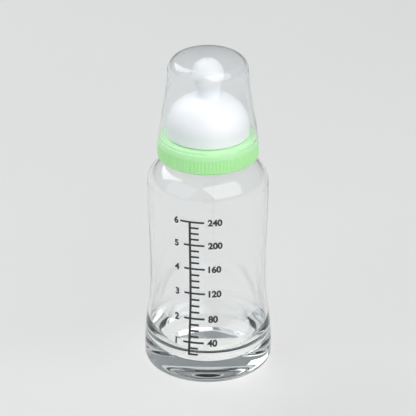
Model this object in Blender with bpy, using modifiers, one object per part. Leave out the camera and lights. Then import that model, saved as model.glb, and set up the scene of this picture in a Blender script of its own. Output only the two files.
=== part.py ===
"""Baby bottle with a wide screw ring, a ball-tipped silicone teat and a dome cap, standing upright.

The frame is +Z up, in metres, with the origin at the middle of the foot.
"""

import math

import bmesh
import bpy

MM = 0.001

# Clear body
WALL = 2.0 * MM
FOOT_CORNER = 7.0 * MM
PUNT_RADIUS = 21.0 * MM
PUNT_SLOPE = 3.2 * MM
PUNT_DEPTH = 1.6 * MM
PUNT_CROWN = 0.8 * MM
FLOOR_TOP = 9.0 * MM
FLOOR_CORNER = 18.0 * MM
FLOOR_DISH = 0.8 * MM
BELLY_RADIUS = 34.3 * MM
BELLY_HEIGHT = 11.0 * MM
WAIST_RADIUS = 31.1 * MM
WAIST_HEIGHT = 52.0 * MM
CHEST_RADIUS = 32.6 * MM
CHEST_HEIGHT = 106.5 * MM
SHOULDER_BEND = 14.5 * MM
NECK_RADIUS = 18.9 * MM
NECK_FILLET = 1.5 * MM
NECK_FILLET_END = 250
SHOULDER_START = 80
MOUTH_RADIUS = 16.4 * MM
MOUTH_FLARE = 2.2 * MM
RIM_HEIGHT = 131.0 * MM
RIM_ROUND = 0.8 * MM

# Thread: one right-handed helix, shared by the neck and the ring
LEAD = 4.2 * MM
BEAD_RADIUS = 1.15 * MM
BEAD_TIP = 0.35
BEAD_TAPER_POINTS = 3
NECK_BEAD_CENTRE = 19.1 * MM
NECK_BEAD_TOP = RIM_HEIGHT - 1.9 * MM
NECK_BEAD_TURNS = 1.3
RING_BEAD_CENTRE = 20.85 * MM
RING_BEAD_TURNS = 0.75

# Fits between pieces
GAP = 0.3 * MM

# Screw ring: a smooth skirt outside, a threaded skirt inside and a flat plate on top
FLANGE_THICKNESS = 1.8 * MM
PLATE_THICKNESS = 2.0 * MM
PLATE_UNDERSIDE = RIM_HEIGHT + FLANGE_THICKNESS + 2 * GAP
RING_TOP = PLATE_UNDERSIDE + PLATE_THICKNESS
RING_HEIGHT = 12.8 * MM
RING_BOTTOM = RING_TOP - RING_HEIGHT
RING_FOOT_RADIUS = 27.2 * MM
RING_LEDGE_RADIUS = 26.6 * MM
RING_BULGE = 0.2 * MM
RING_SPIGOT_RADIUS = 25.2 * MM
RING_SPIGOT_HEIGHT = 1.4 * MM
RING_FOOT_ROUND = 1.6 * MM
RING_FOOT_TURN = -75
RING_EDGE_ROUND = 0.4 * MM
RING_WALL = 1.6 * MM
RING_WEB = 2.0 * MM
THREAD_SKIRT_INNER = 20.95 * MM
THREAD_SKIRT_OUTER = 22.4 * MM
THREAD_SKIRT_RISE = 0.3 * MM
RING_HOLE = 17.8 * MM

# Teat: a dome on the plate, a stem and a ball tip, with a groove held in the plate's hole
TEAT_WALL = 1.8 * MM
TEAT_DOME_RADIUS = 22.2 * MM
TEAT_UPRIGHT = 6.0 * MM
TEAT_DOME_RISE = 16.9 * MM
TEAT_BALL_RADIUS = 8.7 * MM
TEAT_STEM_RADIUS = 6.25 * MM
TEAT_BALL_RISE = 34.0 * MM
TEAT_BALL_FILLET = 9.0 * MM
TEAT_STEM_FILLET = 2.2 * MM
TEAT_HOLE = 0.6 * MM
TEAT_FLANGE_RADIUS = 20.0 * MM
TEAT_THROAT = 15.4 * MM
TEAT_FLARE_RISE = 2.2 * MM

# Dome cap
CAP_WALL = 1.2 * MM
CAP_FOOT_RADIUS = 26.8 * MM
CAP_TOP_RADIUS = 21.7 * MM
CAP_FOOT_TAPER = 1.6 * MM
CAP_FOOT_SHARE = 0.3
CAP_WAIST_TAPER = 0.3 * MM
CAP_WAIST_SHARE = 0.67
CAP_HEIGHT = 45.3 * MM
CAP_CORNER = 6.5 * MM
CAP_CORNER_TURN = 77
CAP_CROWN = 1.8 * MM
CAP_CROWN_STEPS = 3

# Mesh fineness
TURN_STEPS = 36
DOME_STEPS = 6
HALVINGS = 60
BEAD_POINTS_PER_TURN = 24
MERGE_DISTANCE = 0.00001


def new_collection(name):
    """A collection of that name, linked to the scene."""
    collection = bpy.data.collections.new(name)
    bpy.context.scene.collection.children.link(collection)
    return collection


def new_material(name, colour, roughness, transmission=0.0, ior=1.45):
    """A Principled material; a transmission above 0 makes it clear."""
    material = bpy.data.materials.new(name)
    material.use_nodes = True
    shader = material.node_tree.nodes["Principled BSDF"]
    shader.inputs["Base Color"].default_value = (*colour, 1.0)
    shader.inputs["Roughness"].default_value = roughness
    shader.inputs["Metallic"].default_value = 0.0
    shader.inputs["Transmission Weight"].default_value = transmission
    shader.inputs["IOR"].default_value = ior
    return material


def arc(centre, radius, start, end, steps):
    """Points (r, z) on an arc about centre, with its angles in degrees from the +r direction."""
    angles = [math.radians(start + (end - start) * i / steps) for i in range(steps + 1)]
    return [(centre[0] + radius * math.cos(a), centre[1] + radius * math.sin(a)) for a in angles]


def ease(low, high, share):
    """A smooth step from low to high as share goes from 0 to 1."""
    return low + (high - low) * (0.5 - 0.5 * math.cos(math.pi * share))


def body_radius(height):
    """The body's outer radius between the belly and the chest."""
    if height <= WAIST_HEIGHT:
        return ease(BELLY_RADIUS, WAIST_RADIUS, (height - BELLY_HEIGHT) / (WAIST_HEIGHT - BELLY_HEIGHT))
    return ease(WAIST_RADIUS, CHEST_RADIUS, (height - WAIST_HEIGHT) / (CHEST_HEIGHT - WAIST_HEIGHT))


def body_side(bottom, offset, steps):
    """The body's side from bottom up to the chest, moved inwards by offset."""
    heights = [bottom + (CHEST_HEIGHT - bottom) * i / steps for i in range(steps + 1)]
    return [(body_radius(height) - offset, height) for height in heights]


def turned(name, profile, closed, collection):
    """An object that turns the profile of (r, z) points about the Z axis."""
    mesh = bpy.data.meshes.new(name)
    points = [(r, 0.0, z) for r, z in profile]
    edges = [(i, i + 1) for i in range(len(points) - 1)]
    if closed:
        edges.append((len(points) - 1, 0))
    mesh.from_pydata(points, edges, [])
    piece = bpy.data.objects.new(name, mesh)
    collection.objects.link(piece)
    screw = piece.modifiers.new("turn", "SCREW")
    screw.axis = "Z"
    screw.angle = 2 * math.pi
    screw.steps = TURN_STEPS
    screw.render_steps = TURN_STEPS
    screw.use_merge_vertices = True
    screw.merge_threshold = MERGE_DISTANCE
    screw.use_smooth_shade = True
    return piece


def thread_bead(name, centre_radius, top, turns, collection):
    """A closed mesh of one helical thread bead that ends at the height top and thins out at both ends."""
    count = round(turns * BEAD_POINTS_PER_TURN)
    curve = bpy.data.curves.new(name, "CURVE")
    curve.dimensions = "3D"
    curve.bevel_depth = BEAD_RADIUS
    curve.bevel_resolution = 2
    curve.use_fill_caps = True
    spline = curve.splines.new("POLY")
    spline.points.add(count)
    for i, point in enumerate(spline.points):
        turn = turns * (i / count - 1)
        angle = 2 * math.pi * turn
        from_end = min(i, count - i)
        point.co = (centre_radius * math.cos(angle), centre_radius * math.sin(angle), top + LEAD * turn, 1)
        point.radius = min(1.0, BEAD_TIP + from_end * (1 - BEAD_TIP) / BEAD_TAPER_POINTS)
    guide = bpy.data.objects.new(name, curve)
    collection.objects.link(guide)
    bpy.context.view_layer.update()
    evaluated = guide.evaluated_get(bpy.context.evaluated_depsgraph_get())
    mesh = bpy.data.meshes.new_from_object(evaluated)
    welded = bmesh.new()
    welded.from_mesh(mesh)
    bmesh.ops.remove_doubles(welded, verts=welded.verts, dist=MERGE_DISTANCE)
    bmesh.ops.recalc_face_normals(welded, faces=welded.faces)
    welded.to_mesh(mesh)
    welded.free()
    bead = bpy.data.objects.new(name, mesh)
    bead.matrix_world = guide.matrix_world
    bead.hide_render = True
    bead.display_type = "WIRE"
    collection.objects.link(bead)
    bpy.data.objects.remove(guide)
    bpy.data.curves.remove(curve)
    return bead


def join(piece, bead):
    """Adds the bead to the piece as one body."""
    union = piece.modifiers.new("thread", "BOOLEAN")
    union.operation = "UNION"
    union.object = bead
    union.solver = "EXACT"


def body_profile():
    """The clear body's section: up the inside from the floor, over the rim, down the outside."""
    floor_bottom = FLOOR_TOP + FLOOR_CORNER
    floor_edge = body_radius(floor_bottom) - WALL - FLOOR_CORNER
    shoulder = (CHEST_RADIUS - SHOULDER_BEND, CHEST_HEIGHT)
    inner_bend = SHOULDER_BEND - WALL
    flare = (MOUTH_RADIUS + MOUTH_FLARE, CHEST_HEIGHT + inner_bend + MOUTH_FLARE)
    profile = [(0.0, FLOOR_TOP - FLOOR_DISH)]
    profile += arc((floor_edge, floor_bottom), FLOOR_CORNER, -90, 0, 6)[:-1]
    profile += body_side(floor_bottom, WALL, 9)
    profile += arc(shoulder, inner_bend, 0, 90, 6)[1:]
    profile += arc(flare, MOUTH_FLARE, -90, -180, 3)[1:]
    profile += arc((MOUTH_RADIUS + RIM_ROUND, RIM_HEIGHT - RIM_ROUND), RIM_ROUND, 180, 90, 3)
    profile += arc((NECK_RADIUS - RIM_ROUND, RIM_HEIGHT - RIM_ROUND), RIM_ROUND, 90, 0, 3)
    fillet_middle = (NECK_RADIUS + NECK_FILLET, CHEST_HEIGHT + SHOULDER_BEND + NECK_FILLET)
    profile += arc(fillet_middle, NECK_FILLET, 180, NECK_FILLET_END, 3)
    profile += arc(shoulder, SHOULDER_BEND, SHOULDER_START, 0, 6)
    profile += body_side(BELLY_HEIGHT, 0.0, 10)[-2::-1]
    profile += arc((BELLY_RADIUS - FOOT_CORNER, FOOT_CORNER), FOOT_CORNER, 0, -90, 5)
    profile += [(PUNT_RADIUS, 0.0), (PUNT_RADIUS - PUNT_SLOPE, PUNT_DEPTH), (0.0, PUNT_DEPTH + PUNT_CROWN)]
    return profile


def ring_profile():
    """The screw ring's section: up the hole, over the plate, down the outside, back up inside."""
    ledge = RING_TOP - RING_SPIGOT_HEIGHT
    web_underside = ledge - RING_WEB
    inner_foot = RING_FOOT_RADIUS - RING_WALL
    spigot_edge = (RING_SPIGOT_RADIUS - RING_EDGE_ROUND, RING_TOP - RING_EDGE_ROUND)
    ledge_edge = (RING_LEDGE_RADIUS - RING_EDGE_ROUND, ledge - RING_EDGE_ROUND)
    profile = [(RING_HOLE, PLATE_UNDERSIDE), (RING_HOLE, RING_TOP - RING_EDGE_ROUND)]
    profile += [(RING_HOLE + RING_EDGE_ROUND, RING_TOP)]
    profile += arc(spigot_edge, RING_EDGE_ROUND, 90, 0, 2)
    profile += [(RING_SPIGOT_RADIUS, ledge)]
    profile += arc(ledge_edge, RING_EDGE_ROUND, 90, 0, 2)
    profile += [((RING_LEDGE_RADIUS + RING_FOOT_RADIUS) / 2 + RING_BULGE, (ledge + RING_BOTTOM) / 2)]
    foot = (RING_FOOT_RADIUS - RING_FOOT_ROUND, RING_BOTTOM + RING_FOOT_ROUND)
    profile += arc(foot, RING_FOOT_ROUND, 0, RING_FOOT_TURN, 3)
    profile += [(inner_foot, RING_BOTTOM + RING_EDGE_ROUND)]
    profile += [(inner_foot - RING_EDGE_ROUND, web_underside)]
    profile += [(THREAD_SKIRT_OUTER, web_underside), (THREAD_SKIRT_OUTER, RING_BOTTOM + THREAD_SKIRT_RISE)]
    profile += [(THREAD_SKIRT_INNER, RING_BOTTOM + THREAD_SKIRT_RISE), (THREAD_SKIRT_INNER, PLATE_UNDERSIDE)]
    return profile


def dome_point(angle, offset):
    """A point (r, z) at that angle round the teat's dome, moved inwards by offset."""
    normal = (TEAT_DOME_RISE * math.cos(angle), TEAT_DOME_RADIUS * math.sin(angle))
    shift = offset / math.hypot(*normal)
    radius = TEAT_DOME_RADIUS * math.cos(angle) - shift * normal[0]
    height = TEAT_DOME_RISE * math.sin(angle) - shift * normal[1]
    return (radius, RING_TOP + GAP + TEAT_UPRIGHT + height)


def stem_foot_angle():
    """The angle round the dome where the hollow curve at the stem's foot touches it."""
    low, high = 0.0, math.pi / 2
    for _ in range(HALVINGS):
        angle = (low + high) / 2
        if dome_point(angle, -TEAT_STEM_FILLET)[0] > TEAT_STEM_RADIUS + TEAT_STEM_FILLET:
            low = angle
        else:
            high = angle
    return angle


def teat_side(offset, foot_rise):
    """The teat's side from its tip hole down to foot_rise above the plate, moved inwards by offset."""
    ball = (0.0, RING_TOP + GAP + TEAT_BALL_RISE)
    ball_radius = TEAT_BALL_RADIUS - offset
    tip_angle = math.degrees(math.acos(TEAT_HOLE / ball_radius))
    neck_radius = TEAT_STEM_RADIUS + TEAT_BALL_FILLET
    neck_drop = math.sqrt((TEAT_BALL_RADIUS + TEAT_BALL_FILLET) ** 2 - neck_radius ** 2)
    ball_touch = math.degrees(math.atan2(-neck_drop, neck_radius))
    dome_start = stem_foot_angle()
    foot = dome_point(dome_start, -TEAT_STEM_FILLET)
    touch = dome_point(dome_start, 0.0)
    dome_touch = 360 + math.degrees(math.atan2(touch[1] - foot[1], touch[0] - foot[0]))
    side = arc(ball, ball_radius, tip_angle, ball_touch, 7)
    side += arc((neck_radius, ball[1] - neck_drop), TEAT_BALL_FILLET + offset, 180 + ball_touch, 180, 3)[1:]
    side += arc(foot, TEAT_STEM_FILLET + offset, 180, dome_touch, 3)
    side += [dome_point(dome_start * (1 - i / DOME_STEPS), offset) for i in range(1, DOME_STEPS + 1)]
    side += [(TEAT_DOME_RADIUS - offset, RING_TOP + GAP + foot_rise)]
    return side


def teat_profile():
    """The teat's section: down the outside, round the groove and flange, then up the inside."""
    groove_radius = RING_HOLE - GAP
    flange_top = RIM_HEIGHT + GAP + FLANGE_THICKNESS
    flange_bottom = RIM_HEIGHT + GAP
    dome_foot = RING_TOP + GAP
    profile = teat_side(0.0, 0.0)
    profile += [(groove_radius, dome_foot), (groove_radius, flange_top), (TEAT_FLANGE_RADIUS, flange_top)]
    profile += [(TEAT_FLANGE_RADIUS, flange_bottom), (TEAT_THROAT, flange_bottom), (TEAT_THROAT, dome_foot)]
    profile += teat_side(TEAT_WALL, TEAT_FLARE_RISE)[::-1]
    return profile


def bezier(start, start_pull, end_pull, end, steps):
    """Points on a cubic curve from start to end."""
    points = []
    for i in range(steps + 1):
        t = i / steps
        weights = ((1 - t) ** 3, 3 * t * (1 - t) ** 2, 3 * t * t * (1 - t), t ** 3)
        corners = (start, start_pull, end_pull, end)
        points.append(tuple(sum(w * c[k] for w, c in zip(weights, corners)) for k in range(2)))
    return points


def cap_side(offset):
    """The cap's side from its foot up to the middle of its top, moved inwards by offset."""
    foot = RING_TOP - RING_SPIGOT_HEIGHT + GAP
    top = foot + CAP_HEIGHT
    corner = top - CAP_CORNER
    reach = corner - foot
    side = bezier(
        (CAP_FOOT_RADIUS - offset, foot),
        (CAP_FOOT_RADIUS - CAP_FOOT_TAPER - offset, foot + reach * CAP_FOOT_SHARE),
        (CAP_TOP_RADIUS + CAP_WAIST_TAPER - offset, foot + reach * CAP_WAIST_SHARE),
        (CAP_TOP_RADIUS - offset, corner),
        8,
    )
    side += arc((CAP_TOP_RADIUS - CAP_CORNER, corner), CAP_CORNER - offset, 0, CAP_CORNER_TURN, 5)[1:]
    edge_radius, edge_height = side[-1]
    crown = top + CAP_CROWN - offset
    for i in range(1, CAP_CROWN_STEPS + 1):
        share = 1 - i / CAP_CROWN_STEPS
        side.append((edge_radius * share, crown - (crown - edge_height) * share ** 2))
    return side


def make_bottle():
    """Makes the four pieces of the bottle."""
    for leftover in list(bpy.data.objects):
        bpy.data.objects.remove(leftover, do_unlink=True)
    parts = new_collection("baby_bottle")
    cutters = new_collection("cutters")

    glass = new_material("clear_glass", (0.95, 0.97, 0.97), 0.03, transmission=1.0, ior=1.5)
    green = new_material("green_plastic", (0.38, 0.86, 0.31), 0.35)
    silicone = new_material("white_silicone", (0.93, 0.94, 0.97), 0.45)
    clear = new_material("clear_plastic", (0.96, 0.97, 0.98), 0.05, transmission=1.0)

    body = turned("bottle_body", body_profile(), False, parts)
    ring = turned("screw_ring", ring_profile(), True, parts)
    teat = turned("teat", teat_profile(), True, parts)
    cap = turned("dome_cap", cap_side(0.0)[::-1] + cap_side(CAP_WALL), False, parts)

    neck_bead = thread_bead("neck_bead", NECK_BEAD_CENTRE, NECK_BEAD_TOP, NECK_BEAD_TURNS, cutters)
    join(body, neck_bead)
    ring_bead_top = NECK_BEAD_TOP - LEAD / 2
    ring_bead = thread_bead("ring_bead", RING_BEAD_CENTRE, ring_bead_top, RING_BEAD_TURNS, cutters)
    join(ring, ring_bead)

    for piece, material in ((body, glass), (ring, green), (teat, silicone), (cap, clear)):
        piece.data.materials.append(material)


make_bottle()
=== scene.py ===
"""Looks of the baby bottle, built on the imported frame.

Clear glass with a printed scale, a green screw ring, a white silicone teat and a clear dome cap.
"""

import math

import bmesh
import bpy
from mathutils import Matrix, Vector


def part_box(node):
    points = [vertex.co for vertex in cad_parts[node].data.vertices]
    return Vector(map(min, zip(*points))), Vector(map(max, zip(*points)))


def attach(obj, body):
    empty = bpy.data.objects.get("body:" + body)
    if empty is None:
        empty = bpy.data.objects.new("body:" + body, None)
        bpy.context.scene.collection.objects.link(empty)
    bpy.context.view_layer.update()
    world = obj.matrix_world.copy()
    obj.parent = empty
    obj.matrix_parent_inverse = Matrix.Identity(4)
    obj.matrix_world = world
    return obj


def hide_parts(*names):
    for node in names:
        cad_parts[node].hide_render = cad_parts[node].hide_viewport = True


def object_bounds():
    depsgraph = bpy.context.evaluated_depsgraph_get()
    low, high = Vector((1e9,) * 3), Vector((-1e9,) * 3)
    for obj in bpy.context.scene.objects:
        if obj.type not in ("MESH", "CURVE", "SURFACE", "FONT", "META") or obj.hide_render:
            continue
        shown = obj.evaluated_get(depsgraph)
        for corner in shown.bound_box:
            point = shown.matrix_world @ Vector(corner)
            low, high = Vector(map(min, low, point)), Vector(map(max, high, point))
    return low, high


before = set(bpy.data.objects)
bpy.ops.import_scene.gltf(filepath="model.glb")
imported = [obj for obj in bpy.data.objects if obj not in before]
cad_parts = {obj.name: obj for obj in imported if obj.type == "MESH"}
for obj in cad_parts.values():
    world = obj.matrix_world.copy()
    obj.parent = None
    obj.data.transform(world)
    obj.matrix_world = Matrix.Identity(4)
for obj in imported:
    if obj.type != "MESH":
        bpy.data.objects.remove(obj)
cad_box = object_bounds()

MM = 0.001
TURN = 2 * math.pi
SHARP_ANGLE = math.radians(45)

# Closer than this, points are one, profile points repeat, and a point is on a face
SAME_POINT = 0.001 * MM
SAME_STEP = 0.002 * MM
SAME_FACE = 0.01 * MM

# Places taken from the frame
body_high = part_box("bottle_body")[1]
ring_low, ring_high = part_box("screw_ring")
teat_low, teat_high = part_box("teat")
cap_low, cap_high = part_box("dome_cap")
BELLY_RADIUS = body_high.x
RIM_HEIGHT = body_high.z
RING_BOTTOM = ring_low.z
RING_TOP = ring_high.z
RING_FOOT_RADIUS = ring_high.x
TEAT_DOME_RADIUS = teat_high.x
TEAT_FLANGE_BOTTOM = teat_low.z
TEAT_TIP = teat_high.z
CAP_FOOT = cap_low.z
CAP_TOP = cap_high.z
CAP_FOOT_RADIUS = cap_high.x

# Glass body
WALL = 2.0 * MM
FOOT_CORNER = 7.0 * MM
HEEL_HIGH_PULL = 2.0 * MM
HEEL_LOW_PULL = 1.0 * MM
PUNT_RADIUS = 21.0 * MM
PUNT_DEPTH = 2.0 * MM
PUNT_LIP = 1.0 * MM
PUNT_EDGE_PULL = 2.0 * MM
PUNT_ROOF_PULL = 4.0 * MM
FLOOR_TOP = 9.0 * MM
FLOOR_CORNER = 18.0 * MM
FLOOR_DIP = 0.8 * MM
FLOOR_DIP_SHARE = 0.4
FLOOR_EDGE_SHARE = 0.7
BELLY_HEIGHT = 11.0 * MM
WAIST_RADIUS = 31.1 * MM
WAIST_HEIGHT = 52.0 * MM
CHEST_RADIUS = 32.6 * MM
CHEST_HEIGHT = 106.5 * MM
SHOULDER_BEND = 14.5 * MM
SHOULDER_TURN = 82
NECK_RADIUS = 18.9 * MM
NECK_FILLET = 1.5 * MM
MOUTH_RADIUS = 16.4 * MM
MOUTH_FLARE = 2.2 * MM
RIM_ROUND = 1.1 * MM
BODY_COLUMNS = 192

# Thread: one right-handed helix for the neck and the ring
LEAD = 4.2 * MM
THREAD_TAPER = 0.09
NECK_THREAD_TOP = RIM_HEIGHT - 1.9 * MM
NECK_THREAD_TURNS = 1.3
NECK_THREAD_RISE = 1.35 * MM
NECK_THREAD_HALF = 1.35 * MM
NECK_THREAD_REACH = 0.3 * MM
RING_THREAD_TURNS = 0.75
RING_THREAD_RISE = 1.2 * MM
RING_THREAD_HALF = 1.1 * MM

# Screw ring
PLATE_THICKNESS = 2.0 * MM
RING_HOLE = 17.8 * MM
RING_SPIGOT_RADIUS = 25.2 * MM
RING_SPIGOT_HEIGHT = 1.4 * MM
RING_LEDGE_RADIUS = 26.6 * MM
RING_BULGE = 0.35 * MM
RING_BULGE_DROP = 3.0 * MM
RING_FOOT_PULL = 4.0 * MM
RING_FOOT_ROUND = 1.6 * MM
RING_FOOT_TURN = -84
RING_EDGE_ROUND = 0.45 * MM
RING_CREASE = 0.1 * MM
RING_LIP_ROUND = 0.2 * MM
RING_LIP_HEIGHT = 0.5 * MM
RING_WALL = 1.6 * MM
RING_DRAFT = 0.4 * MM
RING_WEB = 2.0 * MM
THREAD_SKIRT_INNER = 20.95 * MM
THREAD_SKIRT_OUTER = 22.4 * MM
THREAD_SKIRT_RISE = 0.3 * MM
GRIP_TOP = RING_TOP - 4.5 * MM
GRIP_BOTTOM = RING_BOTTOM + 1.5 * MM
GRIP_DEPTH = 0.34 * MM
GRIP_RIBS = 84
GRIP_COLUMNS = 6
GRIP_FADE = 0.5 * MM
GRIP_SHARPNESS = 0.7
# Painted light: above these heights the ring is painted lighter, a painted top light on the smooth band, and
# below them darker, painted shade in the ribs
PAINTED_LIGHT_START = GRIP_TOP - 1.0 * MM
PAINTED_LIGHT_END = GRIP_TOP + 2.0 * MM

# Teat
GAP = 0.3 * MM
TEAT_WALL = 1.8 * MM
TEAT_UPRIGHT = 6.0 * MM
TEAT_DOME_RISE = 16.9 * MM
TEAT_DOME_STEPS = 40
TEAT_BALL_RADIUS = 8.7 * MM
TEAT_STEM_RADIUS = 6.25 * MM
TEAT_BALL_FILLET = 9.0 * MM
TEAT_STEM_FILLET = 2.2 * MM
TEAT_HOLE = 0.45 * MM
TEAT_FLANGE_RADIUS = 20.0 * MM
TEAT_FLANGE_THICKNESS = 1.8 * MM
TEAT_THROAT = 15.4 * MM
TEAT_FLARE_RISE = 2.2 * MM
TEAT_FOOT_ROUND = 0.6 * MM
TEAT_INSET = 1.0 * MM
TEAT_CHAMFER = 0.3 * MM
TEAT_GROOVE_CHAMFER = 0.2 * MM
TEAT_COLUMNS = 144
STEM_FOOT_HALVINGS = 60
# Painted shade: the stem between these heights is coloured greyer and bluish, standing in for light passing
# through the thin silicone
PAINTED_STEM_SHADE_START = RING_TOP + 18.0 * MM
PAINTED_STEM_SHADE_MIDDLE = 0.45

# Dome cap
CAP_WALL = 1.2 * MM
CAP_TOP_RADIUS = 21.7 * MM
CAP_CORNER = 6.5 * MM
CAP_CORNER_TURN = 77
CAP_CROWN = 1.8 * MM
CAP_CROWN_STEPS = 24
CAP_FLARE = 1.6 * MM
CAP_FLARE_SHARE = 0.3
CAP_WAIST = 0.3 * MM
CAP_WAIST_SHARE = 0.67
CAP_COLUMNS = 160

# Printed scale, seen from -Y
SCALE_TURN = math.radians(-107.5)
INK_OUT = 0.05 * MM
INK_IN = 0.02 * MM
INK_CELL = 0.6 * MM
INK_CELL_HEIGHT = 4 * INK_CELL
ML_IN_CUBIC_METRE = 1e6
MARK_STEP_ML = 10
MARKS_PER_MAIN = 4
FIRST_ML = 20
FULL_ML = 240
MARK_WIDTH = 1.1 * MM
AXIS_WIDTH = 1.25 * MM
MAIN_MARK = 7.9 * MM
SMALL_MARK = 4.9 * MM
LEFT_MARK = 3.5 * MM
TOP_LEFT_MARK = 5.4 * MM
NUMERAL_HEIGHT = 3.6 * MM
NUMERAL_HEIGHT_IN_SIZE = 0.7
NUMERAL_START = 9.8 * MM
NUMERAL_BOLD = 0.24 * MM
COUNT_CENTRE = -7.8 * MM

# Materials: the middle part of a noise pattern's values
NOISE_LOW = 0.3
NOISE_HIGH = 0.7

# Studio
FLOOR_HALF = 6.0
FLOOR_DROP = 0.2 * MM
LAMP_AIM = (0, 0, 0.08)
ROOM_COLOUR = (0.9, 0.95, 1.0)
ROOM_STRENGTH = 0.32
CAMERA_DISTANCE = 2.8
CAMERA_RISE = math.radians(26)
CAMERA_LENS = 450
CAMERA_SENSOR = 36
CAMERA_REACH = 50


def smooth_step(low, high, share):
    """An even, smooth step from low to high as share goes from 0 to 1."""
    share = min(1.0, max(0.0, share))
    return low + (high - low) * (0.5 - 0.5 * math.cos(math.pi * share))


def arc(centre, radius, start, end, steps):
    """Points (r, z) on an arc about centre, with its angles in degrees from the +r direction."""
    angles = [math.radians(start + (end - start) * i / steps) for i in range(steps + 1)]
    return [(centre[0] + radius * math.cos(a), centre[1] + radius * math.sin(a)) for a in angles]


def line(start, end, steps):
    """Points (r, z) from start to end, both included."""
    shares = [i / steps for i in range(steps + 1)]
    return [tuple(a + (b - a) * share for a, b in zip(start, end)) for share in shares]


def bezier(start, start_pull, end_pull, end, steps):
    """Points (r, z) on a cubic curve from start to end."""
    corners = (start, start_pull, end_pull, end)
    points = []
    for i in range(steps + 1):
        t = i / steps
        weights = ((1 - t) ** 3, 3 * t * (1 - t) ** 2, 3 * t * t * (1 - t), t ** 3)
        points.append(tuple(sum(w * c[k] for w, c in zip(weights, corners)) for k in range(2)))
    return points


def without_repeats(points):
    """The points without any that repeat the one before."""
    kept = [points[0]]
    for point in points[1:]:
        if math.dist(point, kept[-1]) > SAME_STEP:
            kept.append(point)
    return kept


def lathe(name, profile, columns, closed=False, relief=None):
    """A fine turned mesh; relief(r, z, angle) is how far a point stands out from the turned surface."""
    shape = bmesh.new()
    rows = []
    for r, z in without_repeats(profile):
        if r < SAME_POINT:
            rows.append([shape.verts.new((0.0, 0.0, z))] * columns)
            continue
        row = []
        for i in range(columns):
            angle = TURN * i / columns
            reach = r + (relief(r, z, angle) if relief else 0.0)
            row.append(shape.verts.new((reach * math.cos(angle), reach * math.sin(angle), z)))
        rows.append(row)
    pairs = list(zip(rows, rows[1:]))
    if closed:
        pairs.append((rows[-1], rows[0]))
    for upper, lower in pairs:
        for i in range(columns):
            j = (i + 1) % columns
            corners = [upper[i], upper[j], lower[j], lower[i]]
            shape.faces.new(list(dict.fromkeys(corners)))
    bmesh.ops.recalc_face_normals(shape, faces=shape.faces)
    return as_piece(name, shape)


def as_piece(name, shape):
    """A smooth-shaded object from a bmesh, which is freed."""
    mesh = bpy.data.meshes.new(name)
    shape.to_mesh(mesh)
    shape.free()
    mesh.shade_smooth()
    mesh.set_sharp_from_angle(angle=SHARP_ANGLE)
    piece = bpy.data.objects.new(name, mesh)
    bpy.context.scene.collection.objects.link(piece)
    return piece


def place(piece, material, body, slot, *nodes):
    """Gives a piece its material and the body it rides on, and hides the CAD nodes it stands for; slot is not
    used.
    """
    piece.data.materials.append(material)
    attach(piece, body)
    if nodes:
        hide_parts(*nodes)


def helix_relief(z, angle, top, turns, rise, half_width):
    """How far a helical thread that ends at the height top stands out at this height and angle."""
    best = 0.0
    for turn in range(math.ceil(turns) + 1):
        along = angle / TURN - 1 - turn
        if not -turns <= along <= 0:
            continue
        off = (z - top - LEAD * along) / half_width
        if abs(off) < 1:
            taper = smooth_step(0.0, 1.0, min(along + turns, -along) / THREAD_TAPER)
            best = max(best, rise * taper * (1 - off * off))
    return best


# Glass body -----------------------------------------------------------------------------------

def body_radius(height):
    """The body's outer radius between the belly and the chest."""
    if height <= WAIST_HEIGHT:
        share = (height - BELLY_HEIGHT) / (WAIST_HEIGHT - BELLY_HEIGHT)
        return smooth_step(BELLY_RADIUS, WAIST_RADIUS, share)
    share = (height - WAIST_HEIGHT) / (CHEST_HEIGHT - WAIST_HEIGHT)
    return smooth_step(WAIST_RADIUS, CHEST_RADIUS, share)


def body_side(bottom, offset, steps):
    """The body's side from bottom up to the chest, moved inwards by offset."""
    heights = [bottom + (CHEST_HEIGHT - bottom) * i / steps for i in range(steps + 1)]
    return [(body_radius(height) - offset, height) for height in heights]


def body_inside():
    """The inside of the glass, from the middle of the floor up to the mouth."""
    corner_height = FLOOR_TOP + FLOOR_CORNER
    floor_edge = body_radius(corner_height) - WALL - FLOOR_CORNER
    dip = FLOOR_TOP - FLOOR_DIP
    bend = SHOULDER_BEND - WALL
    shoulder = (CHEST_RADIUS - SHOULDER_BEND, CHEST_HEIGHT)
    flare = (MOUTH_RADIUS + MOUTH_FLARE, CHEST_HEIGHT + bend + MOUTH_FLARE)
    inside = bezier((0.0, dip), (floor_edge * FLOOR_DIP_SHARE, dip),
                    (floor_edge * FLOOR_EDGE_SHARE, FLOOR_TOP), (floor_edge, FLOOR_TOP), steps=12)
    inside += arc((floor_edge, corner_height), FLOOR_CORNER, -90, 0, steps=24)
    inside += body_side(corner_height, WALL, steps=40)
    inside += arc(shoulder, bend, 0, 90, steps=24)
    inside += arc(flare, MOUTH_FLARE, -90, -180, steps=12)
    return inside


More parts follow.
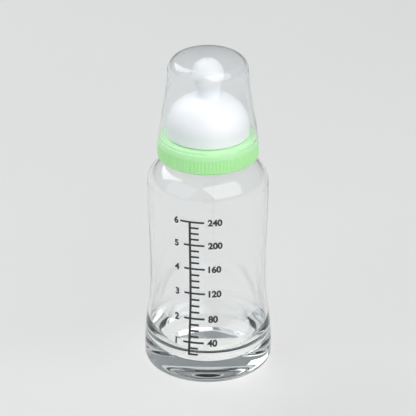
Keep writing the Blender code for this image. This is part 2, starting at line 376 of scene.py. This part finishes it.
def body_outside():
    """The outside of the glass, from the rim down to the middle of the foot."""
    rim = RIM_HEIGHT - RIM_ROUND
    shoulder = (CHEST_RADIUS - SHOULDER_BEND, CHEST_HEIGHT)
    neck_bottom = CHEST_HEIGHT + SHOULDER_BEND + NECK_FILLET
    fillet = (NECK_RADIUS + NECK_FILLET, neck_bottom)
    outside = arc((MOUTH_RADIUS + RIM_ROUND, rim), RIM_ROUND, 180, 90, steps=8)
    outside += arc((NECK_RADIUS - RIM_ROUND, rim), RIM_ROUND, 90, 0, steps=8)
    outside += line((NECK_RADIUS, rim), (NECK_RADIUS, neck_bottom), steps=56)
    outside += arc(fillet, NECK_FILLET, 180, 180 + SHOULDER_TURN, steps=8)
    outside += arc(shoulder, SHOULDER_BEND, SHOULDER_TURN, 0, steps=26)
    outside += body_side(BELLY_HEIGHT, 0.0, steps=52)[::-1]
    outside += bezier((BELLY_RADIUS, BELLY_HEIGHT), (BELLY_RADIUS, BELLY_HEIGHT - HEEL_HIGH_PULL),
                      (BELLY_RADIUS, FOOT_CORNER + HEEL_LOW_PULL), (BELLY_RADIUS, FOOT_CORNER), steps=3)
    outside += arc((BELLY_RADIUS - FOOT_CORNER, FOOT_CORNER), FOOT_CORNER, 0, -90, steps=18)
    outside += bezier((PUNT_RADIUS + PUNT_LIP, 0.0), (PUNT_RADIUS - PUNT_EDGE_PULL, 0.0),
                      (PUNT_RADIUS - PUNT_ROOF_PULL, PUNT_DEPTH), (0.0, PUNT_DEPTH), steps=18)
    return outside


def neck_relief(r, z, angle):
    """The thread on the outside of the neck."""
    if abs(r - NECK_RADIUS) > NECK_THREAD_REACH:
        return 0.0
    return helix_relief(z, angle, NECK_THREAD_TOP, NECK_THREAD_TURNS, NECK_THREAD_RISE, NECK_THREAD_HALF)


# Printed scale --------------------------------------------------------------------------------

def fill_heights():
    """The height of each mark above the foot, from the room inside the glass."""
    inside = without_repeats(body_inside())
    heights = {}
    volume = 0.0
    wanted = MARK_STEP_ML
    for (r0, z0), (r1, z1) in zip(inside, inside[1:]):
        slice_ml = math.pi * (r0 * r0 + r0 * r1 + r1 * r1) / 3 * (z1 - z0) * ML_IN_CUBIC_METRE
        while slice_ml > 0 and volume + slice_ml >= wanted and wanted <= FULL_ML:
            if wanted >= FIRST_ML:
                heights[wanted] = z0 + (z1 - z0) * (wanted - volume) / slice_ml
            wanted += MARK_STEP_ML
        volume += slice_ml
    return heights


def on_glass(u, v, out):
    """The point u to the right of the scale's line round the glass, at height v, and out from its face."""
    radius = body_radius(v)
    angle = SCALE_TURN + u / radius
    return Vector(((radius + out) * math.cos(angle), (radius + out) * math.sin(angle), v))


def add_bar(shape, left, right, low, high):
    """Adds one printed bar to the bmesh, as a thin solid that follows the glass."""
    across = max(1, math.ceil((right - left) / INK_CELL))
    up = max(1, math.ceil((high - low) / INK_CELL_HEIGHT))
    layers = []
    for out in (-INK_IN, INK_OUT):
        layers.append([[shape.verts.new(on_glass(left + (right - left) * i / across,
                                                 low + (high - low) * j / up, out))
                        for i in range(across + 1)] for j in range(up + 1)])
    inner, outer = layers
    for j in range(up):
        for i in range(across):
            for layer in (inner, outer):
                shape.faces.new((layer[j][i], layer[j][i + 1], layer[j + 1][i + 1], layer[j + 1][i]))
    edge = [(0, i) for i in range(across)] + [(j, across) for j in range(up)]
    edge += [(up, i) for i in range(across, 0, -1)] + [(j, 0) for j in range(up, 0, -1)]
    for a, b in zip(edge, edge[1:] + edge[:1]):
        shape.faces.new((inner[a[0]][a[1]], inner[b[0]][b[1]], outer[b[0]][b[1]], outer[a[0]][a[1]]))


def scale_marks(heights):
    """The upright line with its long and short marks."""
    shape = bmesh.new()
    half = MARK_WIDTH / 2
    top = heights[FULL_ML]
    add_bar(shape, -AXIS_WIDTH / 2, AXIS_WIDTH / 2, heights[FIRST_ML] - half, top + half)
    for amount, height in heights.items():
        main = amount % (MARK_STEP_ML * MARKS_PER_MAIN) == 0
        reach = MAIN_MARK if main else SMALL_MARK
        add_bar(shape, AXIS_WIDTH / 2, reach, height - half, height + half)
        if main:
            left = TOP_LEFT_MARK if amount == FULL_ML else LEFT_MARK
            add_bar(shape, -left, -AXIS_WIDTH / 2, height - half, height + half)
    bmesh.ops.recalc_face_normals(shape, faces=shape.faces)
    return as_piece("scale_marks", shape)


def flat_numeral(text):
    """A number lying flat, as a bmesh with bold edges, cut into columns so that it can follow the glass."""
    letters = bpy.data.curves.new("numeral", "FONT")
    letters.body = text
    letters.size = NUMERAL_HEIGHT / NUMERAL_HEIGHT_IN_SIZE
    letters.bevel_depth = NUMERAL_BOLD
    letters.bevel_resolution = 1
    guide = bpy.data.objects.new("numeral", letters)
    bpy.context.scene.collection.objects.link(guide)
    bpy.context.view_layer.update()
    mesh = bpy.data.meshes.new_from_object(guide.evaluated_get(bpy.context.evaluated_depsgraph_get()))
    bpy.data.objects.remove(guide)
    bpy.data.curves.remove(letters)
    flat = bmesh.new()
    flat.from_mesh(mesh)
    bpy.data.meshes.remove(mesh)
    bmesh.ops.remove_doubles(flat, verts=flat.verts, dist=SAME_POINT)
    cut = min(v.co.x for v in flat.verts) + INK_CELL
    high = max(v.co.x for v in flat.verts)
    while cut < high:
        everything = flat.verts[:] + flat.edges[:] + flat.faces[:]
        bmesh.ops.bisect_plane(flat, geom=everything, dist=SAME_POINT,
                               plane_co=(cut, 0, 0), plane_no=(1, 0, 0))
        cut += INK_CELL
    return flat


def add_numeral(shape, text, height, start=None, centre=None):
    """Adds one printed number to the bmesh, on the glass at this height, from start or about centre."""
    flat = flat_numeral(text)
    low = min(v.co.x for v in flat.verts)
    high = max(v.co.x for v in flat.verts)
    middle = (min(v.co.y for v in flat.verts) + max(v.co.y for v in flat.verts)) / 2
    shift = start - low if start is not None else centre - (low + high) / 2
    for vert in flat.verts:
        u, v, out = vert.co
        out *= (INK_OUT + INK_IN) / (2 * NUMERAL_BOLD)
        vert.co = on_glass(u + shift, height + v - middle, out + (INK_OUT - INK_IN) / 2)
    wrapped = bpy.data.meshes.new("numeral")
    flat.to_mesh(wrapped)
    flat.free()
    shape.from_mesh(wrapped)
    bpy.data.meshes.remove(wrapped)


def scale_numerals(heights):
    """The amounts in ml on the right of the line, and the count of main marks on its left."""
    shape = bmesh.new()
    step = MARK_STEP_ML * MARKS_PER_MAIN
    for count, amount in enumerate(range(step, FULL_ML + 1, step), start=1):
        add_numeral(shape, str(amount), heights[amount], start=NUMERAL_START)
        add_numeral(shape, str(count), heights[amount], centre=COUNT_CENTRE)
    bmesh.ops.recalc_face_normals(shape, faces=shape.faces)
    return as_piece("scale_numerals", shape)


# Screw ring -----------------------------------------------------------------------------------

def ring_profile():
    """The ring's section: up from the hole's lower edge, over the plate, down the outside, up inside."""
    edge = RING_EDGE_ROUND
    lip = RING_LIP_ROUND
    plate_under = RING_TOP - PLATE_THICKNESS
    ledge = RING_TOP - RING_SPIGOT_HEIGHT
    web_under = ledge - RING_WEB
    foot_top = RING_BOTTOM + RING_FOOT_ROUND
    inner_foot = RING_FOOT_RADIUS - RING_WALL
    inner_top = inner_foot - RING_DRAFT
    skirt_middle = (THREAD_SKIRT_INNER + THREAD_SKIRT_OUTER) / 2
    skirt_round = (THREAD_SKIRT_OUTER - THREAD_SKIRT_INNER) / 2
    skirt_foot = RING_BOTTOM + THREAD_SKIRT_RISE + skirt_round
    profile = line((RING_HOLE, plate_under), (RING_HOLE, RING_TOP - edge), steps=4)
    profile += arc((RING_HOLE + edge, RING_TOP - edge), edge, 180, 90, steps=6)
    profile += line((RING_HOLE + edge, RING_TOP), (RING_SPIGOT_RADIUS - edge, RING_TOP), steps=6)
    profile += arc((RING_SPIGOT_RADIUS - edge, RING_TOP - edge), edge, 90, 0, steps=6)
    profile += line((RING_SPIGOT_RADIUS, RING_TOP - edge), (RING_SPIGOT_RADIUS, ledge + RING_CREASE), steps=3)
    profile += line((RING_SPIGOT_RADIUS + RING_CREASE, ledge), (RING_LEDGE_RADIUS - edge, ledge), steps=2)
    profile += arc((RING_LEDGE_RADIUS - edge, ledge - edge), edge, 90, 0, steps=6)
    profile += bezier((RING_LEDGE_RADIUS, ledge - edge),
                      (RING_LEDGE_RADIUS + RING_BULGE, ledge - RING_BULGE_DROP),
                      (RING_FOOT_RADIUS, foot_top + RING_FOOT_PULL), (RING_FOOT_RADIUS, foot_top), steps=44)
    profile += arc((RING_FOOT_RADIUS - RING_FOOT_ROUND, foot_top), RING_FOOT_ROUND,
                   0, RING_FOOT_TURN, steps=12)
    profile += arc((inner_foot + lip, RING_BOTTOM + lip), lip, -90, -180, steps=4)
    profile += line((inner_foot, RING_BOTTOM + RING_LIP_HEIGHT), (inner_top, web_under), steps=6)
    profile += line((inner_top - RING_CREASE, web_under),
                    (THREAD_SKIRT_OUTER + RING_CREASE, web_under), steps=3)
    profile += line((THREAD_SKIRT_OUTER, web_under), (THREAD_SKIRT_OUTER, skirt_foot), steps=6)
    profile += arc((skirt_middle, skirt_foot), skirt_round, 0, -180, steps=10)
    profile += line((THREAD_SKIRT_INNER, skirt_foot), (THREAD_SKIRT_INNER, plate_under), steps=48)
    return profile


def ring_relief(r, z, angle):
    """The grip ribs round the outside and the thread inside."""
    if r > RING_LEDGE_RADIUS - SAME_FACE and GRIP_BOTTOM < z < GRIP_TOP:
        fade = smooth_step(0.0, 1.0, min(z - GRIP_BOTTOM, GRIP_TOP - z) / GRIP_FADE)
        wave = 0.5 - 0.5 * math.cos(GRIP_RIBS * angle)
        return -GRIP_DEPTH * fade * (1 - wave ** GRIP_SHARPNESS)
    if abs(r - THREAD_SKIRT_INNER) < SAME_FACE:
        top = NECK_THREAD_TOP - LEAD / 2
        return -helix_relief(z, angle, top, RING_THREAD_TURNS, RING_THREAD_RISE, RING_THREAD_HALF)
    return 0.0


# Teat -----------------------------------------------------------------------------------------

def dome_point(angle, offset):
    """A point (r, z) at that angle round the teat's dome, moved inwards by offset."""
    normal = (TEAT_DOME_RISE * math.cos(angle), TEAT_DOME_RADIUS * math.sin(angle))
    shift = offset / math.hypot(*normal)
    radius = TEAT_DOME_RADIUS * math.cos(angle) - shift * normal[0]
    height = TEAT_DOME_RISE * math.sin(angle) - shift * normal[1]
    return (radius, RING_TOP + GAP + TEAT_UPRIGHT + height)


def stem_foot_angle():
    """The angle round the dome where the hollow curve at the stem's foot touches it."""
    low, high = 0.0, math.pi / 2
    for _ in range(STEM_FOOT_HALVINGS):
        angle = (low + high) / 2
        if dome_point(angle, -TEAT_STEM_FILLET)[0] > TEAT_STEM_RADIUS + TEAT_STEM_FILLET:
            low = angle
        else:
            high = angle
    return angle


def teat_side(offset, foot_rise):
    """The teat's side from its tip hole down to foot_rise above the plate, moved inwards by offset."""
    ball = (0.0, TEAT_TIP - TEAT_BALL_RADIUS)
    ball_radius = TEAT_BALL_RADIUS - offset
    tip_angle = math.degrees(math.acos(TEAT_HOLE / ball_radius))
    neck_radius = TEAT_STEM_RADIUS + TEAT_BALL_FILLET
    neck_drop = math.sqrt((TEAT_BALL_RADIUS + TEAT_BALL_FILLET) ** 2 - neck_radius ** 2)
    neck = (neck_radius, ball[1] - neck_drop)
    ball_touch = math.degrees(math.atan2(-neck_drop, neck_radius))
    dome_start = stem_foot_angle()
    foot = dome_point(dome_start, -TEAT_STEM_FILLET)
    touch = dome_point(dome_start, 0.0)
    dome_touch = 360 + math.degrees(math.atan2(touch[1] - foot[1], touch[0] - foot[0]))
    side = arc(ball, ball_radius, tip_angle, ball_touch, steps=36)
    side += arc(neck, TEAT_BALL_FILLET + offset, 180 + ball_touch, 180, steps=14)
    side += arc(foot, TEAT_STEM_FILLET + offset, 180, dome_touch, steps=14)
    for i in range(1, TEAT_DOME_STEPS + 1):
        side.append(dome_point(dome_start * (1 - i / TEAT_DOME_STEPS), offset))
    side += line(side[-1], (TEAT_DOME_RADIUS - offset, RING_TOP + GAP + foot_rise), steps=5)
    return side


def teat_profile():
    """The teat's section: down the outside, round the groove and flange, then up the inside to the hole."""
    dome_foot = RING_TOP + GAP
    groove = RING_HOLE - GAP
    foot_round = (TEAT_DOME_RADIUS - TEAT_FOOT_ROUND, dome_foot + TEAT_FOOT_ROUND)
    flange_half = TEAT_FLANGE_THICKNESS / 2
    flange_top = TEAT_FLANGE_BOTTOM + TEAT_FLANGE_THICKNESS
    flange_round = (TEAT_FLANGE_RADIUS - flange_half, TEAT_FLANGE_BOTTOM + flange_half)
    profile = teat_side(0.0, TEAT_FOOT_ROUND)
    profile += arc(foot_round, TEAT_FOOT_ROUND, 0, -90, steps=6)
    profile += line((TEAT_DOME_RADIUS - TEAT_INSET, dome_foot), (groove + TEAT_CHAMFER, dome_foot), steps=5)
    profile += line((groove, dome_foot - TEAT_CHAMFER), (groove, flange_top + TEAT_GROOVE_CHAMFER), steps=3)
    profile += line((groove + TEAT_GROOVE_CHAMFER, flange_top), (flange_round[0], flange_top), steps=3)
    profile += arc(flange_round, flange_half, 90, -90, steps=10)
    profile += line((TEAT_FLANGE_RADIUS - TEAT_INSET, TEAT_FLANGE_BOTTOM),
                    (TEAT_THROAT + TEAT_CHAMFER, TEAT_FLANGE_BOTTOM), steps=5)
    profile += line((TEAT_THROAT, TEAT_FLANGE_BOTTOM + TEAT_CHAMFER), (TEAT_THROAT, dome_foot), steps=5)
    profile += teat_side(TEAT_WALL, TEAT_FLARE_RISE)[::-1]
    return profile


# Dome cap -------------------------------------------------------------------------------------

def cap_side(offset):
    """The cap's side from its foot up to the middle of its top, moved inwards by offset."""
    corner = CAP_TOP - CAP_CROWN - CAP_CORNER
    reach = corner - CAP_FOOT
    side = bezier((CAP_FOOT_RADIUS - offset, CAP_FOOT),
                  (CAP_FOOT_RADIUS - CAP_FLARE - offset, CAP_FOOT + reach * CAP_FLARE_SHARE),
                  (CAP_TOP_RADIUS + CAP_WAIST - offset, CAP_FOOT + reach * CAP_WAIST_SHARE),
                  (CAP_TOP_RADIUS - offset, corner), steps=60)
    side += arc((CAP_TOP_RADIUS - CAP_CORNER, corner), CAP_CORNER - offset, 0, CAP_CORNER_TURN, steps=24)
    edge_radius, edge_height = side[-1]
    top = CAP_TOP - offset
    for i in range(1, CAP_CROWN_STEPS + 1):
        share = 1 - i / CAP_CROWN_STEPS
        side.append((edge_radius * share, top - (top - edge_height) * share ** 2))
    return side


def cap_profile():
    """The cap's section: from the middle of its top down the outside, round the foot, and up the inside."""
    half = CAP_WALL / 2
    middle = (CAP_FOOT_RADIUS - half, CAP_FOOT + half)
    outside = [point for point in cap_side(0.0)[::-1] if point[1] > middle[1]]
    inside = [point for point in cap_side(CAP_WALL) if point[1] > middle[1]]
    return outside + arc(middle, half, 0, -180, steps=10) + inside


# Materials ------------------------------------------------------------------------------------

def new_material(name):
    """A material with its node tree, its shader and its output node."""
    material = bpy.data.materials.new(name)
    material.use_nodes = True
    tree = material.node_tree
    return material, tree, tree.nodes["Principled BSDF"], tree.nodes["Material Output"]


def add_noise(tree, scale, detail, stretch=(1, 1, 1)):
    """The value of a noise pattern fixed to the object, with scale in cells per metre."""
    spot = tree.nodes.new("ShaderNodeTexCoord")
    mapping = tree.nodes.new("ShaderNodeMapping")
    mapping.inputs["Scale"].default_value = stretch
    noise = tree.nodes.new("ShaderNodeTexNoise")
    noise.inputs["Scale"].default_value = scale
    noise.inputs["Detail"].default_value = detail
    tree.links.new(spot.outputs["Object"], mapping.inputs["Vector"])
    tree.links.new(mapping.outputs["Vector"], noise.inputs["Vector"])
    return noise.outputs["Fac"]


def add_range(tree, value, low, high, start=NOISE_LOW, end=NOISE_HIGH):
    """The value spread from low to high between start and end."""
    spread = tree.nodes.new("ShaderNodeMapRange")
    spread.inputs["From Min"].default_value = start
    spread.inputs["From Max"].default_value = end
    spread.inputs["To Min"].default_value = low
    spread.inputs["To Max"].default_value = high
    tree.links.new(value, spread.inputs["Value"])
    return spread.outputs["Result"]


def add_height(tree, start, end):
    """A value that goes from 0 at the height start to 1 at the height end."""
    spot = tree.nodes.new("ShaderNodeTexCoord")
    split = tree.nodes.new("ShaderNodeSeparateXYZ")
    tree.links.new(spot.outputs["Object"], split.inputs["Vector"])
    return add_range(tree, split.outputs["Z"], 0.0, 1.0, start, end)


def add_sum(tree, first, second):
    """The sum of two values."""
    total = tree.nodes.new("ShaderNodeMath")
    total.operation = "ADD"
    tree.links.new(first, total.inputs[0])
    tree.links.new(second, total.inputs[1])
    return total.outputs["Value"]


def add_roughness(tree, shader, value, low, high):
    """Roughness from low to high by value."""
    tree.links.new(add_range(tree, value, low, high), shader.inputs["Roughness"])


def add_bump(tree, shader, value, distance):
    """Raises the surface by up to distance, in metres, where value is 1."""
    bump = tree.nodes.new("ShaderNodeBump")
    bump.inputs["Distance"].default_value = distance
    bump.inputs["Strength"].default_value = 1.0
    tree.links.new(value, bump.inputs["Height"])
    tree.links.new(bump.outputs["Normal"], shader.inputs["Normal"])


def add_colours(tree, shader, value, low, high):
    """Colours the surface from low to high by value."""
    mix = tree.nodes.new("ShaderNodeMix")
    mix.data_type = "RGBA"
    mix.inputs["A"].default_value = (*low, 1)
    mix.inputs["B"].default_value = (*high, 1)
    tree.links.new(value, mix.inputs["Factor"])
    tree.links.new(mix.outputs["Result"], shader.inputs["Base Color"])


def add_tint(tree, output, colour, density):
    """Darkens a clear piece where it is thick, most in what colour lacks."""
    tint = tree.nodes.new("ShaderNodeVolumeAbsorption")
    tint.inputs["Color"].default_value = (*colour, 1)
    tint.inputs["Density"].default_value = density
    tree.links.new(tint.outputs["Volume"], output.inputs["Volume"])


def let_lamps_through(tree, shader, output, shade):
    """Lets lamplight through a clear piece, dimmed by shade at each surface."""
    path = tree.nodes.new("ShaderNodeLightPath")
    clear = tree.nodes.new("ShaderNodeBsdfTransparent")
    clear.inputs["Color"].default_value = (shade, shade, shade, 1)
    mix = tree.nodes.new("ShaderNodeMixShader")
    tree.links.new(path.outputs["Is Shadow Ray"], mix.inputs["Fac"])
    tree.links.new(shader.outputs["BSDF"], mix.inputs[1])
    tree.links.new(clear.outputs["BSDF"], mix.inputs[2])
    tree.links.new(mix.outputs["Shader"], output.inputs["Surface"])


def clear_glass():
    """Colourless bottle glass, with the faint waviness of a blown wall and a slight grey where thick."""
    material, tree, shader, output = new_material("clear_glass")
    shader.inputs["Base Color"].default_value = (0.995, 1.0, 0.998, 1)
    shader.inputs["Transmission Weight"].default_value = 1.0
    shader.inputs["IOR"].default_value = 1.5
    add_roughness(tree, shader, add_noise(tree, scale=60, detail=3), low=0.0, high=0.03)
    waves = add_noise(tree, scale=45, detail=1, stretch=(1, 1, 0.35))
    add_bump(tree, shader, waves, distance=0.12 * MM)
    add_tint(tree, output, colour=(0.62, 0.68, 0.67), density=9.0)
    let_lamps_through(tree, shader, output, shade=0.94)
    return material


def clear_plastic():
    """Clear moulded plastic of the cap, glossy, with a faint moulding texture."""
    material, tree, shader, output = new_material("clear_plastic")
    shader.inputs["Base Color"].default_value = (0.985, 0.99, 0.995, 1)
    shader.inputs["Transmission Weight"].default_value = 1.0
    shader.inputs["IOR"].default_value = 1.49
    add_roughness(tree, shader, add_noise(tree, scale=90, detail=3), low=0.01, high=0.06)
    add_bump(tree, shader, add_noise(tree, scale=70, detail=1), distance=0.05 * MM)
    add_tint(tree, output, colour=(0.5, 0.55, 0.58), density=40.0)
    let_lamps_through(tree, shader, output, shade=0.95)
    return material


def green_plastic():
    """Light apple green moulded plastic with a satin face; the smooth band above the ribs is painted lighter
    as a painted top light, and the ribbed band below is painted darker as painted shade of the ribs.
    """
    material, tree, shader, _ = new_material("green_plastic")
    # Painted light and shade: lighter colour on the smooth band above the ribs, darker colour on the ribbed
    # band
    painted_light_band = add_height(tree, PAINTED_LIGHT_START, PAINTED_LIGHT_END)
    drift = add_range(tree, add_noise(tree, scale=120, detail=2), low=-0.08, high=0.08)
    add_colours(tree, shader, add_sum(tree, painted_light_band, drift), (0.46, 0.93, 0.385), (0.57, 1.0, 0.53))
    shader.inputs["Subsurface Weight"].default_value = 0.25
    shader.inputs["Subsurface Radius"].default_value = (0.6, 1.0, 0.5)
    shader.inputs["Subsurface Scale"].default_value = 2 * MM
    shader.inputs["IOR"].default_value = 1.49
    shader.inputs["Coat Weight"].default_value = 0.4
    shader.inputs["Coat Roughness"].default_value = 0.15
    add_roughness(tree, shader, add_noise(tree, scale=900, detail=3), low=0.28, high=0.42)
    add_bump(tree, shader, add_noise(tree, scale=2500, detail=2), distance=0.02 * MM)
    return material


def white_silicone():
    """Soft white silicone; the thin stem is painted a little greyer and bluish, a painted shade that stands
    in for light passing through the thin silicone.
    """
    material, tree, shader, _ = new_material("white_silicone")
    # Painted shade: the ramp makes the stem greyer and bluish, standing in for light passing through the thin
    # silicone
    ramp = tree.nodes.new("ShaderNodeValToRGB")
    ramp.color_ramp.interpolation = "EASE"
    ramp.color_ramp.elements[0].color = (0.93, 0.94, 0.96, 1)
    ramp.color_ramp.elements[1].color = (0.93, 0.95, 0.96, 1)
    ramp.color_ramp.elements.new(PAINTED_STEM_SHADE_MIDDLE).color = (0.87, 0.91, 0.97, 1)
    tree.links.new(add_height(tree, PAINTED_STEM_SHADE_START, TEAT_TIP - TEAT_BALL_RADIUS), ramp.inputs["Fac"])
    tree.links.new(ramp.outputs["Color"], shader.inputs["Base Color"])
    shader.inputs["Subsurface Weight"].default_value = 0.6
    shader.inputs["Subsurface Radius"].default_value = (1.0, 1.0, 1.1)
    shader.inputs["Subsurface Scale"].default_value = 3 * MM
    shader.inputs["IOR"].default_value = 1.42
    shader.inputs["Sheen Weight"].default_value = 0.1
    add_roughness(tree, shader, add_noise(tree, scale=300, detail=3), low=0.36, high=0.5)
    add_bump(tree, shader, add_noise(tree, scale=1500, detail=2), distance=0.02 * MM)
    return material


def dark_ink():
    """Baked-on dark ink, slightly uneven."""
    material, tree, shader, _ = new_material("dark_ink")
    specks = add_noise(tree, scale=2500, detail=3)
    add_colours(tree, shader, specks, (0.012, 0.013, 0.015), (0.045, 0.047, 0.05))
    add_roughness(tree, shader, add_noise(tree, scale=1800, detail=2), low=0.4, high=0.6)
    return material


def floor_surface():
    """A plain, pale, matt floor."""
    material, tree, shader, _ = new_material("pale_floor")
    clouds = add_noise(tree, scale=6, detail=2)
    add_colours(tree, shader, clouds, (0.86, 0.85, 0.83), (0.89, 0.88, 0.86))
    shader.inputs["Roughness"].default_value = 0.7
    return material


# Scene ----------------------------------------------------------------------------------------

def make_pieces():
    """Builds every visible piece of the bottle."""
    glass = clear_glass()
    ink = dark_ink()
    body = lathe("glass_body", body_inside() + body_outside(), BODY_COLUMNS, relief=neck_relief)
    place(body, glass, "bottle", "clear_glass", "bottle_body")
    heights = fill_heights()
    place(scale_marks(heights), ink, "bottle", "dark_ink")
    place(scale_numerals(heights), ink, "bottle", "dark_ink")
    ring = lathe("green_ring", ring_profile(), GRIP_RIBS * GRIP_COLUMNS, closed=True, relief=ring_relief)
    place(ring, green_plastic(), "ring", "green_plastic", "screw_ring")
    teat = lathe("silicone_teat", teat_profile(), TEAT_COLUMNS, closed=True)
    place(teat, white_silicone(), "teat", "white_silicone", "teat")
    cap = lathe("clear_cap", cap_profile(), CAP_COLUMNS)
    place(cap, clear_plastic(), "cap", "clear_plastic", "dome_cap")


def make_floor():
    """The floor that the bottle stands on."""
    shape = bmesh.new()
    corners = ((-FLOOR_HALF, -FLOOR_HALF), (FLOOR_HALF, -FLOOR_HALF), (FLOOR_HALF, FLOOR_HALF),
               (-FLOOR_HALF, FLOOR_HALF))
    shape.faces.new([shape.verts.new((x, y, 0)) for x, y in corners])
    floor = as_piece("floor", shape)
    floor.location.z = -FLOOR_DROP
    floor.data.materials.append(floor_surface())


def add_lamp(name, spot, size, power, colour=(1, 1, 1)):
    """A soft square lamp at spot that shines on the bottle."""
    data = bpy.data.lights.new(name, "AREA")
    data.shape = "SQUARE"
    data.size = size
    data.energy = power
    data.color = colour
    lamp = bpy.data.objects.new(name, data)
    lamp.location = spot
    lamp.rotation_euler = (Vector(LAMP_AIM) - Vector(spot)).to_track_quat("-Z", "Y").to_euler()
    bpy.context.scene.collection.objects.link(lamp)


def light_scene():
    """Soft studio light: a key from the right, a fill from the left, one behind, and a dim room."""
    add_lamp("key", (1.0, -1.2, 1.5), size=2.4, power=31)
    add_lamp("fill", (-1.5, -0.8, 1.1), size=2.0, power=8, colour=(0.88, 0.94, 1.0))
    add_lamp("back", (-1.3, 1.1, 1.8), size=1.6, power=19)
    world = bpy.data.worlds.new("studio")
    world.use_nodes = True
    background = world.node_tree.nodes["Background"]
    background.inputs["Color"].default_value = (*ROOM_COLOUR, 1)
    background.inputs["Strength"].default_value = ROOM_STRENGTH
    bpy.context.scene.world = world
    bpy.context.scene.view_settings.view_transform = "Standard"


def add_camera():
    """A long lens in front of the bottle, looking down at its middle."""
    data = bpy.data.cameras.new("camera")
    data.lens = CAMERA_LENS
    data.sensor_width = CAMERA_SENSOR
    data.clip_end = CAMERA_REACH
    camera = bpy.data.objects.new("camera", data)
    middle = (cad_box[0][2] + cad_box[1][2]) / 2
    back = CAMERA_DISTANCE * math.cos(CAMERA_RISE)
    camera.location = (0, -back, middle + CAMERA_DISTANCE * math.sin(CAMERA_RISE))
    camera.rotation_euler = (math.pi / 2 - CAMERA_RISE, 0, 0)
    bpy.context.scene.collection.objects.link(camera)
    bpy.context.scene.camera = camera


add_camera()
make_pieces()
make_floor()
light_scene()
